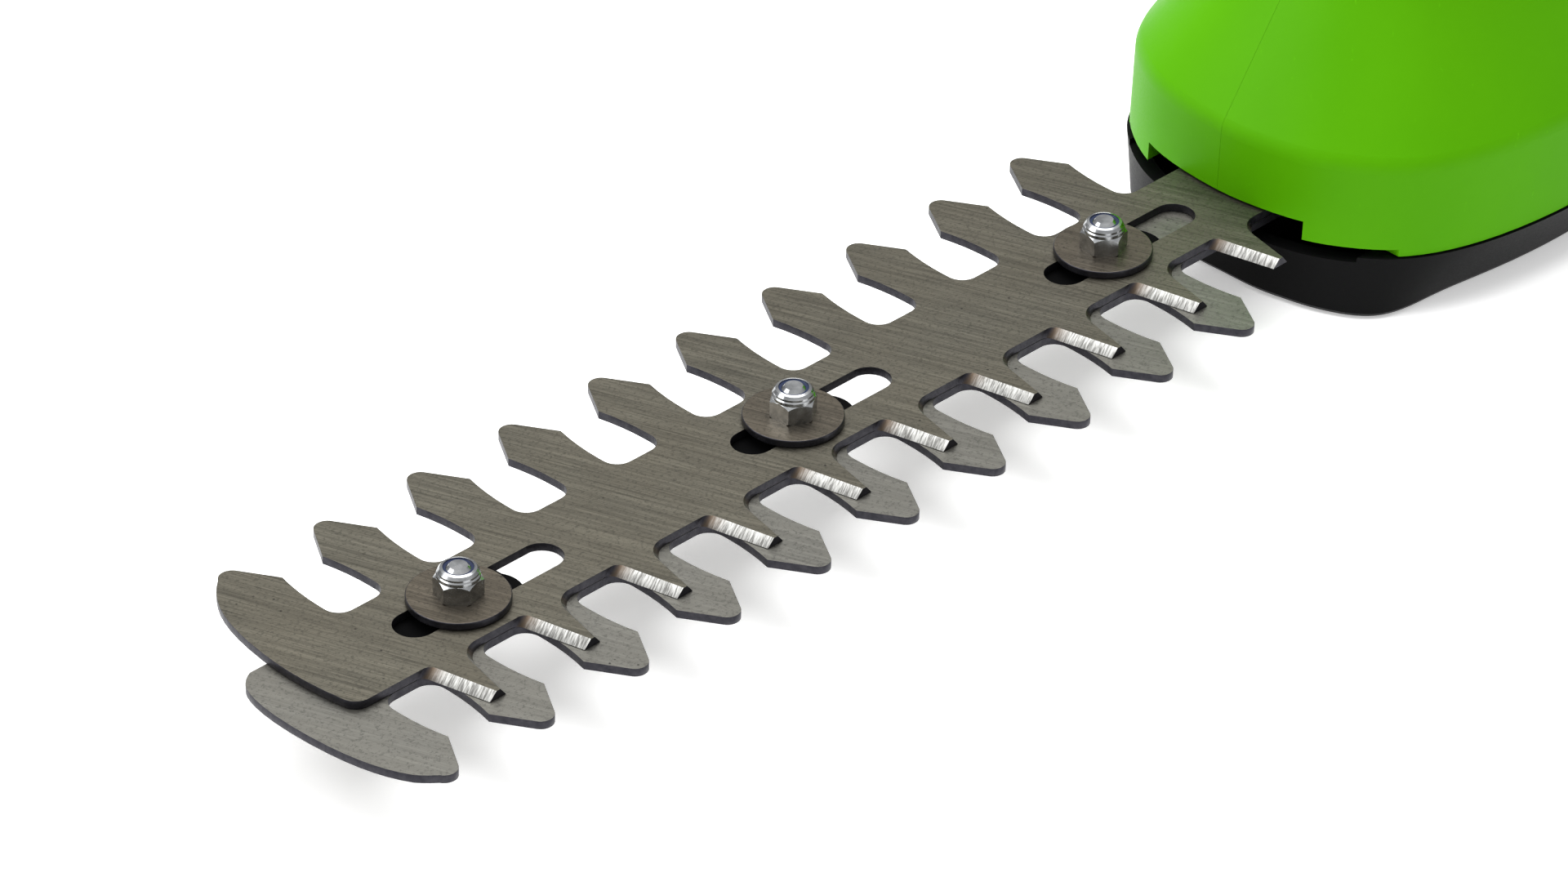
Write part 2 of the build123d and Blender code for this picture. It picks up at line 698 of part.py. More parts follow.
with BuildSketch() as body_profile:
    with BuildLine():
        Polyline(
            (-24.0, 48.0),
            (-6.0, 77.0),
            (16.0, 88.0),
            (75.0, 89.0),
            (125.0, 86.0),
            (172.0, 75.0),
            (200.0, 56.0),
            (200.0, 24.0),
            (144.0, 24.0),
            (139.0, 44.0),
            (126.0, 52.5),
            (88.0, 54.5),
            (72.0, 50.0),
            (58.0, 37.0),
            (-24.0, 36.0),
            close=True,
        )
    make_face()
    fillet([v for v in body_profile.vertices() if v.Y > 40.0], radius=11.0)

with BuildPart() as body_outer:
    with BuildSketch(Plane.XZ.offset(BODY_HALF)):
        add(body_profile.sketch)
    extrude(amount=-2 * BODY_HALF)
    fillet(body_outer.faces().sort_by(Axis.Y)[-1].edges(), radius=8.0)
    fillet(body_outer.faces().sort_by(Axis.Y)[0].edges(), radius=8.0)

with BuildPart() as body_inner:
    with BuildSketch(Plane.XZ.offset(BODY_HALF - WALL)):
        offset(body_profile.sketch, amount=-WALL)
    extrude(amount=-2 * (BODY_HALF - WALL))
    fillet(body_inner.faces().sort_by(Axis.Y)[-1].edges(), radius=6.0)
    fillet(body_inner.faces().sort_by(Axis.Y)[0].edges(), radius=6.0)

with BuildPart() as foot_outer:
    with BuildSketch(Plane.YZ.offset(FOOT_FRONT_X)):
        with Locations((0, (FOOT_LOW + FOOT_HIGH) / 2)):
            RectangleRounded(2 * FOOT_HALF, FOOT_HIGH - FOOT_LOW, 10.0)
    extrude(amount=PACK_SPLIT_X - FOOT_FRONT_X)
    fillet(foot_outer.faces().sort_by(Axis.X)[0].edges(), radius=6.0)

# Screw bosses run across the shell between the two halves; the head's four
# upright bosses take the base screws and two ledges carry the gear frame.
CROSS_SCREWS = ((54.0, 21.0), (1.0, 67.0), (64.0, 79.0), (121.0, 78.0), (174.0, 65.2))
BASE_SCREWS = ((-27.0, 25.5), (-27.0, -25.5), (48.0, 22.0), (48.0, -22.0))
with BuildPart() as bosses:
    with BuildSketch(Plane.XZ.offset(40.0)):
        with Locations(list(CROSS_SCREWS)):
            Circle(4.4)
    extrude(amount=-80.0)
    with BuildSketch(Plane.XY.offset(HEAD_LOW)):
        with Locations(list(BASE_SCREWS)):
            Circle(4.0)
    extrude(amount=26.0 - HEAD_LOW)
    with BuildSketch(Plane.XY.offset(22.0)):
        with Locations([(0, EAR_Y + 3.0), (0, -EAR_Y - 3.0)]):
            Rectangle(15.0, 13.0)
    extrude(amount=FRAME_LOW - 22.0)
    with BuildSketch(Plane.XY.offset(74.0)):
        with Locations((87.0, 0)):
            Rectangle(9.0, 37.0)
    extrude(amount=1.6)

with BuildPart() as outer_form:
    add(head_outer.part)
    add(body_outer.part)
    add(foot_outer.part)

with BuildPart() as boss_form:
    add(bosses.part)
    add(outer_form.part, mode=Mode.INTERSECT)

# Soft pad inlaid over the top of the grip.
with BuildPart() as grip_region:
    with BuildSketch(Plane.XZ.offset(40.0)):
        with BuildLine():
            Polyline(
                (101.0, 100.0),
                (97.0, 72.0),
                (104.0, 66.5),
                (150.0, 62.5),
                (160.0, 68.0),
                (168.0, 100.0),
                close=True,
            )
        make_face()
    extrude(amount=-80.0)

with BuildPart() as pad_core:
    with BuildSketch(Plane.XZ.offset(BODY_HALF - 1.5)):
        offset(body_profile.sketch, amount=-1.5)
    extrude(amount=-2 * (BODY_HALF - 1.5))
    fillet(pad_core.faces().sort_by(Axis.Y)[-1].edges(), radius=6.8)
    fillet(pad_core.faces().sort_by(Axis.Y)[0].edges(), radius=6.8)

with BuildPart() as grip_pad:
    add(body_outer.part)
    add(grip_region.part, mode=Mode.INTERSECT)
    add(pad_core.part, mode=Mode.SUBTRACT)
grip_pad.part.label = "grip_pad"
export_step(grip_pad.part, "parts/grip_pad.step")

with BuildPart() as shell:
    add(outer_form.part)
    add(head_inner.part, mode=Mode.SUBTRACT)
    add(body_inner.part, mode=Mode.SUBTRACT)
    with BuildSketch(Plane.YZ.offset(FOOT_FRONT_X + WALL)):
        with Locations((0, (FOOT_LOW + FOOT_HIGH) / 2)):
            RectangleRounded(40.0, 46.0, 6.0)
    extrude(amount=SOCKET_X - 2.5 - FOOT_FRONT_X - WALL, mode=Mode.SUBTRACT)
    add(boss_form.part)
    with BuildSketch(Plane.YZ.offset(SOCKET_X)):
        with Locations((0, (FOOT_LOW + FOOT_HIGH) / 2)):
            RectangleRounded(2 * FOOT_HALF - 6.0, FOOT_HIGH - FOOT_LOW - 6.0, 7.0)
    extrude(amount=60.0, mode=Mode.SUBTRACT)
    with BuildSketch(Plane.YZ.offset(SOCKET_X - 4.0)):
        with Locations((0, 30.0)):
            Rectangle(22.0, 12.0)
    extrude(amount=6.0, mode=Mode.SUBTRACT)
    # blade opening at the front, and the step in the lower edge beside it
    with BuildSketch(Plane.XY.offset(HEAD_LOW - 1.0)):
        with Locations((-40.0, 0.7)):
            Rectangle(40.0, 35.6)
    extrude(amount=BLADE_TOP + 0.5 - HEAD_LOW + 1.0, mode=Mode.SUBTRACT)
    with BuildSketch(Plane.XY.offset(HEAD_LOW - 1.0)):
        with Locations((-45.6, 0)):
            Rectangle(30.0, 90.0)
    extrude(amount=2.3, mode=Mode.SUBTRACT)
    # trigger slot, button hole, foot pad recesses
    with BuildSketch(Plane.XY.offset(40.0)):
        with Locations((89.0, 0)):
            RectangleRounded(33.0, 14.4, 3.0)
    extrude(amount=20.0, mode=Mode.SUBTRACT)
    with BuildSketch(Plane.XY.offset(80.0)):
        with Locations((87.0, 0)):
            RectangleRounded(13.0, 9.0, 3.0)
    extrude(amount=20.0, mode=Mode.SUBTRACT)
    with BuildSketch(Plane.XY.offset(FOOT_LOW)):
        with Locations([(164.0, 0), (192.0, 0)]):
            RectangleRounded(10.0, 32.0, 3.0)
    extrude(amount=0.8, mode=Mode.SUBTRACT)
    # cooling slots on both sides of the neck
    with BuildSketch(Plane.XZ.offset(40.0)):
        with Locations([(x, 62.0) for x in (20.0, 26.0, 32.0, 38.0)]):
            SlotOverall(18.0, 2.6, rotation=70)
    extrude(amount=-80.0, mode=Mode.SUBTRACT)
    # screw pilots for the base and the frame
    with BuildSketch(Plane.XY.offset(HEAD_LOW)):
        with Locations(list(BASE_SCREWS)):
            Circle(1.3)
    extrude(amount=12.0, mode=Mode.SUBTRACT)
    with BuildSketch(Plane.XY.offset(FRAME_LOW)):
        with Locations([(0, EAR_Y), (0, -EAR_Y)]):
            Circle(1.3)
    extrude(amount=-5.0, mode=Mode.SUBTRACT)
    with BuildSketch(Plane.XZ.offset(8.0)):
        with Locations(list(CROSS_SCREWS)):
            Circle(1.4)
    extrude(amount=-17.0, mode=Mode.SUBTRACT)
    with BuildSketch(Plane.XZ.offset(8.0)):
        with Locations(list(CROSS_SCREWS)):
            Circle(3.1)
    extrude(amount=30.0, mode=Mode.SUBTRACT)
    add(grip_pad.part, mode=Mode.SUBTRACT)

with BuildPart() as housing_left:
    add(shell.part)
    with Locations((100.0, -50.0 + SEAM, 50.0)):
        Box(400.0, 100.0, 200.0, mode=Mode.SUBTRACT)
housing_left.part.label = "housing_left"
export_step(housing_left.part, "parts/housing_left.step")

with BuildPart() as housing_right:
    add(shell.part)
    with Locations((100.0, 50.0 - SEAM, 50.0)):
        Box(400.0, 100.0, 200.0, mode=Mode.SUBTRACT)
housing_right.part.label = "housing_right"
export_step(housing_right.part, "parts/housing_right.step")

with BuildPart() as housing_screws:
    with BuildSketch(Plane.XZ.offset(8.0)):
        with Locations(list(CROSS_SCREWS)):
            Circle(2.8)
    extrude(amount=2.2)
    with BuildSketch(Plane.XZ.offset(8.0)):
        with Locations(list(CROSS_SCREWS)):
            Circle(1.35)
    extrude(amount=-16.0)
    with BuildSketch(Plane.XZ.offset(10.2)):
        with Locations(list(CROSS_SCREWS)):
            Rectangle(3.4, 0.8)
            Rectangle(0.8, 3.4)
    extrude(amount=-1.2, mode=Mode.SUBTRACT)
housing_screws.part.label = "housing_screws"
export_step(housing_screws.part, "parts/housing_screws.step")

with BuildPart() as ear_screws:
    with BuildSketch(Plane.XY.offset(FRAME_LOW + FRAME_T)):
        with Locations([(0, EAR_Y), (0, -EAR_Y)]):
            Circle(2.7)
    extrude(amount=1.8)
    with BuildSketch(Plane.XY.offset(FRAME_LOW + FRAME_T)):
        with Locations([(0, EAR_Y), (0, -EAR_Y)]):
            Circle(1.25)
    extrude(amount=-7.0)
ear_screws.part.label = "ear_screws"
export_step(ear_screws.part, "parts/ear_screws.step")

# ================================================================== base
with BuildPart() as base_cover:
    with BuildSketch():
        with BuildLine():
            Spline(*base_outline(1.0), periodic=True)
        make_face()
    with BuildSketch(Plane.XY.offset(1.1)):
        with BuildLine():
            Spline(*base_outline(0.0), periodic=True)
        make_face()
    loft(ruled=True)
    with BuildSketch(Plane.XY.offset(1.1)):
        with BuildLine():
            Spline(*base_outline(0.0), periodic=True)
        make_face()
    with BuildSketch(Plane.XY.offset(BASE_TOP)):
        with BuildLine():
            Spline(*head_outline(-0.35), periodic=True)
        make_face()
    loft(ruled=True)
    with BuildSketch(Plane.XY.offset(BASE_FLOOR)):
        with BuildLine():
            Spline(*base_outline(BASE_WALL + 0.2), periodic=True)
        make_face()
    with BuildSketch(Plane.XY.offset(BASE_TOP)):
        with BuildLine():
            Spline(*head_outline(BASE_WALL + 0.35), periodic=True)
        make_face()
    loft(ruled=True, mode=Mode.SUBTRACT)
    with BuildSketch(Plane.XY.offset(BASE_FLOOR)):
        with Locations(list(BASE_SCREWS)):
            Circle(3.9)
    extrude(amount=BASE_TOP - BASE_FLOOR)
    with BuildSketch():
        with Locations(list(BASE_SCREWS)):
            Circle(1.6)
    extrude(amount=BASE_TOP, mode=Mode.SUBTRACT)
    with BuildSketch():
        with Locations(list(BASE_SCREWS)):
            Circle(3.1)
    extrude(amount=3.2, mode=Mode.SUBTRACT)
    with BuildSketch(Plane.XY.offset(10.5)):
        with Locations((-44.5, 0.6)):
            Rectangle(30.0, 52.8)
    extrude(amount=3.0, mode=Mode.SUBTRACT)
base_cover.part.label = "base_cover"
export_step(base_cover.part, "parts/base_cover.step")

with BuildPart() as base_screws:
    with BuildSketch(Plane.XY.offset(3.2)):
        with Locations(list(BASE_SCREWS)):
            Circle(2.8)
    extrude(amount=-2.2)
    with BuildSketch(Plane.XY.offset(3.2)):
        with Locations(list(BASE_SCREWS)):
            Circle(1.25)
    extrude(amount=16.0)
    with BuildSketch(Plane.XY.offset(1.0)):
        with Locations(list(BASE_SCREWS)):
            Rectangle(3.4, 0.8)
            Rectangle(0.8, 3.4)
    extrude(amount=1.2, mode=Mode.SUBTRACT)
base_screws.part.label = "base_screws"
export_step(base_screws.part, "parts/base_screws.step")

with BuildPart() as foot_pads:
    with BuildSketch():
        with Locations([(164.0, 0), (192.0, 0)]):
            RectangleRounded(10.0, 32.0, 3.0)
    extrude(amount=FOOT_LOW + 0.8)
    fillet(foot_pads.edges().group_by(Axis.Z)[0], radius=0.6)
foot_pads.part.label = "foot_pads"
export_step(foot_pads.part, "parts/foot_pads.step")

# ============================================================== controls
TRIGGER_PIN = (78.0, 62.0)
with BuildPart() as trigger:
    with BuildSketch(Plane.XZ.offset(6.5)):
        with BuildLine():
            Polyline(
                (74.2, 59.0),
                (74.2, 66.0),
                (99.0, 66.0),
                (99.8, 57.0),
                (97.5, 47.0),
                (91.5, 41.5),
                (88.5, 42.5),
                (85.5, 49.5),
                (81.0, 54.5),
                close=True,
            )
        make_face()
        with Locations(TRIGGER_PIN):
            Circle(1.54, mode=Mode.SUBTRACT)
    extrude(amount=-13.0)
trigger.part.label = "trigger"
export_step(trigger.part, "parts/trigger.step")

with BuildPart() as trigger_pin:
    with BuildSketch(Plane.XZ.offset(15.0)):
        with Locations(TRIGGER_PIN):
            Circle(1.5)
    extrude(amount=-30.0)
trigger_pin.part.label = "trigger_pin"
export_step(trigger_pin.part, "parts/trigger_pin.step")

# Bearing blocks in the shell that carry the trigger pin.
with BuildPart() as pin_blocks:
    with BuildSketch(Plane.XZ.offset(16.4)):
        with Locations(TRIGGER_PIN):
            Circle(3.6)
            Circle(1.5, mode=Mode.SUBTRACT)
    extrude(amount=-9.0)
    with BuildSketch(Plane.XZ.offset(-16.4)):
        with Locations(TRIGGER_PIN):
            Circle(3.6)
            Circle(1.5, mode=Mode.SUBTRACT)
    extrude(amount=9.0)
pin_blocks.part.label = "pin_blocks"
export_step(pin_blocks.part, "parts/pin_blocks.step")

with BuildPart() as trigger_spring:
    with BuildLine(Plane((86.5, 0, 66.4))):
        coil = Helix(pitch=1.7, height=7.2, radius=2.4)
    with BuildSketch(Plane(origin=coil @ 0, z_dir=coil % 0)):
        Circle(0.35)
    sweep()
trigger_spring.part.label = "trigger_spring"
export_step(trigger_spring.part, "parts/trigger_spring.step")

with BuildPart() as lock_button:
    with BuildSketch(Plane.XY.offset(82.6)):
        with Locations((87.0, 0)):
            RectangleRounded(16.0, 12.0, 3.5)
    extrude(amount=1.6)
    with BuildSketch(Plane.XY.offset(82.6)):
        with Locations((87.0, 0)):
            RectangleRounded(12.4, 8.4, 2.7)
    extrude(amount=8.6)
    fillet(lock_button.edges().group_by(Axis.Z)[-1], radius=1.2)
lock_button.part.label = "lock_button"
export_step(lock_button.part, "parts/lock_button.step")

with BuildPart() as lock_spring:
    with BuildLine(Plane((87.0, 0, 76.0))):
        coil = Helix(pitch=1.5, height=6.2, radius=2.4)
    with BuildSketch(Plane(origin=coil @ 0, z_dir=coil % 0)):
        Circle(0.3)
    sweep()
lock_spring.part.label = "lock_spring"
export_step(lock_spring.part, "parts/lock_spring.step")

with BuildPart() as micro_switch:
    with Locations((103.0, 0, 75.2)):
        Box(20.0, 6.4, 7.8)
    with Locations((97.0, 0, 70.9)):
        Box(2.4, 2.4, 1.0)
    with Locations((108.0, 0, 70.3), (112.0, 0, 70.3)):
        Box(0.6, 3.2, 2.2)
micro_switch.part.label = "micro_switch"
export_step(micro_switch.part, "parts/micro_switch.step")

with BuildPart() as control_board:
    with Locations((128.0, 0, 60.8)):
        Box(28.0, 24.0, 1.6)
control_board.part.label = "control_board"
export_step(control_board.part, "parts/control_board.step")

with BuildPart() as board_parts:
    with Locations((120.0, 5.0, 62.8)):
        Box(7.0, 7.0, 2.4)
    with Locations((133.0, 6.0, 62.4)):
        Box(4.0, 6.0, 1.6)
    with Locations((135.0, -6.0, 61.6)):
        Cylinder(3.0, 8.0, align=(Align.CENTER, Align.CENTER, Align.MIN))
    with Locations((122.0, -6.0, 63.4)):
        Box(9.0, 5.0, 3.6)
board_parts.part.label = "board_parts"
export_step(board_parts.part, "parts/board_parts.step")

with BuildPart() as motor_leads:
    for side in (-1, 1):
        with BuildLine():
            lead = Spline(
                (CENTRES, 8.5 * side, 76.5),
                (CENTRES + 12.0, 9.5 * side, 77.0),
                (60.0, 12.0 * side, 70.0),
                (88.0, 12.5 * side, 69.5),
                (113.6, 9.5 * side, 60.8),
            )
        with BuildSketch(Plane(origin=lead @ 0, z_dir=lead % 0)):
            Circle(0.8)
        sweep()
motor_leads.part.label = "motor_leads"
export_step(motor_leads.part, "parts/motor_leads.step")

with BuildPart() as battery_leads:
    for side in (-1, 1):
        with BuildLine():
            lead = Spline(
                (142.3, 7.0 * side, 60.8),
                (146.0, 7.0 * side, 58.0),
                (147.6, 7.0 * side, 48.0),
                (147.6, 7.0 * side, 36.4),
            )
        with BuildSketch(Plane(origin=lead @ 0, z_dir=lead % 0)):
            Circle(0.8)
        sweep()
battery_leads.part.label = "battery_leads"
export_step(battery_leads.part, "parts/battery_leads.step")

with BuildPart() as terminal_block:
    with Locations((149.2, 0, 30.0)):
        Box(6.8, 21.6, 11.6)
terminal_block.part.label = "terminal_block"
export_step(terminal_block.part, "parts/terminal_block.step")

with BuildPart() as contacts:
    with Locations((153.0, -7.0, 30.0), (153.0, 0, 30.0), (153.0, 7.0, 30.0)):
        Box(0.8, 2.4, 7.0)
contacts.part.label = "contacts"
export_step(contacts.part, "parts/contacts.step")

# =============================================================== battery
STICK_Z = (FOOT_LOW + FOOT_HIGH) / 2
with BuildPart() as battery_stick:
    with BuildSketch(Plane.YZ.offset(SOCKET_X + 0.8)):
        with Locations((0, STICK_Z)):
            RectangleRounded(2 * FOOT_HALF - 7.2, FOOT_HIGH - FOOT_LOW - 7.2, 6.4)
    extrude(amount=PACK_SPLIT_X + 4.0 - SOCKET_X)
    with BuildSketch(Plane.YZ.offset(SOCKET_X + 2.8)):
        with Locations((0, STICK_Z)):
            RectangleRounded(2 * FOOT_HALF - 11.2, FOOT_HIGH - FOOT_LOW - 11.2, 4.4)
    extrude(amount=80.0, mode=Mode.SUBTRACT)
battery_stick.part.label = "battery_stick"
export_step(battery_stick.part, "parts/battery_stick.step")

with BuildPart() as battery_cap:
    with BuildSketch(Plane.YZ.offset(PACK_SPLIT_X + 0.4)):
        with Locations((0, STICK_Z)):
            RectangleRounded(2 * FOOT_HALF, FOOT_HIGH - FOOT_LOW, 10.0)
    extrude(amount=PACK_END_X - PACK_SPLIT_X - 0.4)
    fillet(battery_cap.faces().sort_by(Axis.X)[-1].edges(), radius=6.0)
    with BuildSketch(Plane.YZ.offset(PACK_SPLIT_X)):
        with Locations((0, STICK_Z)):
            RectangleRounded(2 * FOOT_HALF - 7.2, FOOT_HIGH - FOOT_LOW - 7.2, 6.4)
    extrude(amount=PACK_END_X - PACK_SPLIT_X - 3.5, mode=Mode.SUBTRACT)
    with BuildSketch(Plane.XZ.offset(40.0)):
        with Locations((219.0, STICK_Z)):
            RectangleRounded(14.6, 20.6, 3.3)
    extrude(amount=-80.0, mode=Mode.SUBTRACT)
    with BuildSketch(Plane.XY.offset(FOOT_HIGH - 1.0)):
        with Locations((219.0, 0)):
            SlotOverall(16.0, 4.0)
    extrude(amount=3.0, mode=Mode.SUBTRACT)
battery_cap.part.label = "battery_cap"
export_step(battery_cap.part, "parts/battery_cap.step")

with BuildPart() as charge_lens:
    with BuildSketch(Plane.XY.offset(FOOT_HIGH - 1.0)):
        with Locations((219.0, 0)):
            SlotOverall(16.0, 4.0)
    extrude(amount=0.9)
charge_lens.part.label = "charge_lens"
export_step(charge_lens.part, "parts/charge_lens.step")

with BuildPart() as battery_cells:
    with BuildSketch(Plane.YZ.offset(157.0)):
        with Locations((-9.5, 21.0), (9.5, 21.0), (0, 37.6)):
            Circle(9.1)
    extrude(amount=65.0)
    fillet(battery_cells.edges().filter_by(GeomType.CIRCLE), radius=0.8)
battery_cells.part.label = "battery_cells"
export_step(battery_cells.part, "parts/battery_cells.step")

with BuildPart() as cell_board:
    with Locations((186.0, 0, 49.6)):
        Box(44.0, 26.0, 1.6)
    with Locations((176.0, 0, 51.4)):
        Box(12.0, 8.0, 2.0)
cell_board.part.label = "cell_board"
export_step(cell_board.part, "parts/cell_board.step")

with BuildPart() as latch_left:
    with BuildSketch(Plane.XZ.offset(-FOOT_HALF - 0.9)):
        with Locations((219.0, STICK_Z)):
            RectangleRounded(14.0, 20.0, 3.0)
    extrude(amount=4.7)
    fillet(latch_left.faces().sort_by(Axis.Y)[-1].edges(), radius=0.7)
    with BuildSketch(Plane.XZ.offset(-FOOT_HALF + 3.8)):
        with Locations((219.0, STICK_Z)):
            RectangleRounded(18.0, 24.0, 3.0)
    extrude(amount=1.4)
latch_left.part.label = "latch_left"
export_step(latch_left.part, "parts/latch_left.step")

with BuildPart() as latch_right:
    add(latch_left.part.mirror(Plane.XZ))
latch_right.part.label = "latch_right"
export_step(latch_right.part, "parts/latch_right.step")
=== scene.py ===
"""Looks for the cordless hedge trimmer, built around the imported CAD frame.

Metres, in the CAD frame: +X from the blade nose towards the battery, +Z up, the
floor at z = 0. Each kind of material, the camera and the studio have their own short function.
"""

import math

import bpy
from mathutils import Matrix, Vector

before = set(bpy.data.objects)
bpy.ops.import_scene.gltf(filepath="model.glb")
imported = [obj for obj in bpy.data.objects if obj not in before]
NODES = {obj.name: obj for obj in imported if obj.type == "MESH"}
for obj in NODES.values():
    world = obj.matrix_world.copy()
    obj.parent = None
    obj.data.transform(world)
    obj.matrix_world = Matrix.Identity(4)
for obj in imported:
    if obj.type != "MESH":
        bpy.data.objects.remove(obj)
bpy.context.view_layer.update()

# ----------------------------------------------------------------- camera
CAMERA_PLACE = Vector((-0.8427, -0.6746, 0.6486))
CAMERA_HEADING = math.radians(44.11)
CAMERA_DIP = math.radians(33.26)
CAMERA_ROLL = math.radians(1.08)
CAMERA_LENS = 165.1

# ------------------------------------------------------------------ light
SKY_LOW = 0.30
SKY_HIGH = 0.95
FLOOR_GLOW = 0.35

# ---------------------------------------------------------------- surface
BRUSH_TURN = math.radians(-20.5)
GRIND_TURN = math.radians(-10.0)
BLADE_EDGE_WEAR = 0.00010


def linear(red, green, blue):
    """Scene-linear colour from 0-255 display values."""
    def channel(value):
        value /= 255.0
        return value / 12.92 if value <= 0.04045 else ((value + 0.055) / 1.055) ** 2.4

    return (channel(red), channel(green), channel(blue), 1.0)


class Shader:
    """One Principled material and the few calls used to wire it."""

    def __init__(self, name):
        self.material = bpy.data.materials.new(name)
        self.material.use_nodes = True
        self.nodes = self.material.node_tree.nodes
        self.links = self.material.node_tree.links
        self.nodes.clear()
        output = self.nodes.new("ShaderNodeOutputMaterial")
        self.bsdf = self.nodes.new("ShaderNodeBsdfPrincipled")
        self.links.new(self.bsdf.outputs["BSDF"], output.inputs["Surface"])
        self.coords = self.nodes.new("ShaderNodeTexCoord")

    def join(self, value, socket):
        """Links value if it is a socket, and sets it if it is a number or colour."""
        if isinstance(value, bpy.types.NodeSocket):
            self.links.new(value, socket)
        else:
            socket.default_value = value

    def place(self, scale, turn=0.0):
        """Object coordinates turned about Z, then scaled along the turned axes."""
        turned = self.nodes.new("ShaderNodeMapping")
        turned.inputs["Rotation"].default_value = (0.0, 0.0, turn)
        self.links.new(self.coords.outputs["Object"], turned.inputs["Vector"])
        scaled = self.nodes.new("ShaderNodeMapping")
        scaled.inputs["Scale"].default_value = scale
        self.links.new(turned.outputs["Vector"], scaled.inputs["Vector"])
        return scaled.outputs["Vector"]

    def noise(self, vector, scale=1.0, detail=4.0, rough=0.5):
        texture = self.nodes.new("ShaderNodeTexNoise")
        self.links.new(vector, texture.inputs["Vector"])
        texture.inputs["Scale"].default_value = scale
        texture.inputs["Detail"].default_value = detail
        texture.inputs["Roughness"].default_value = rough
        return texture.outputs["Fac"]

    def spots(self, vector, scale, randomness=1.0):
        texture = self.nodes.new("ShaderNodeTexVoronoi")
        self.links.new(vector, texture.inputs["Vector"])
        texture.inputs["Scale"].default_value = scale
        texture.inputs["Randomness"].default_value = randomness
        return texture.outputs["Distance"]

    def ramp(self, value, low, high, start=0.0, end=1.0):
        """Maps value from low..high to start..end, held at both ends."""
        node = self.nodes.new("ShaderNodeMapRange")
        node.inputs["From Min"].default_value = low
        node.inputs["From Max"].default_value = high
        node.inputs["To Min"].default_value = start
        node.inputs["To Max"].default_value = end
        self.join(value, node.inputs["Value"])
        return node.outputs["Result"]

    def maths(self, operation, first, second=0.0):
        node = self.nodes.new("ShaderNodeMath")
        node.operation = operation
        self.join(first, node.inputs[0])
        self.join(second, node.inputs[1])
        return node.outputs["Value"]

    def mix(self, factor, first, second):
        node = self.nodes.new("ShaderNodeMix")
        node.data_type = "RGBA"
        self.join(factor, node.inputs[0])
        self.join(first, node.inputs[6])
        self.join(second, node.inputs[7])
        return node.outputs[2]

    def upward(self):
        """The absolute Z part of the face's own flat normal."""
        geometry = self.nodes.new("ShaderNodeNewGeometry")
        split = self.nodes.new("ShaderNodeSeparateXYZ")
        self.links.new(geometry.outputs["True Normal"], split.inputs["Vector"])
        return self.maths("ABSOLUTE", split.outputs["Z"])

    def height(self, axis):
        """One object coordinate, in metres."""
        split = self.nodes.new("ShaderNodeSeparateXYZ")
        self.links.new(self.coords.outputs["Object"], split.inputs["Vector"])
        return split.outputs[axis]

    def bump(self, height, strength, distance, under=None):
        node = self.nodes.new("ShaderNodeBump")
        node.inputs["Strength"].default_value = strength
        node.inputs["Distance"].default_value = distance
        self.links.new(height, node.inputs["Height"])
        if under is not None:
            self.links.new(under, node.inputs["Normal"])
        return node.outputs["Normal"]

    def finish(self, colour, rough, normal=None, metallic=0.0, **constants):
        self.join(colour, self.bsdf.inputs["Base Color"])
        self.join(rough, self.bsdf.inputs["Roughness"])
        self.bsdf.inputs["Metallic"].default_value = metallic
        if normal is not None:
            self.links.new(normal, self.bsdf.inputs["Normal"])
        for name, value in constants.items():
            self.bsdf.inputs[name.replace("_", " ")].default_value = value
        return self.material


def tinted(colour, gain):
    return [min(1.0, channel * gain) for channel in colour[:3]] + [1.0]


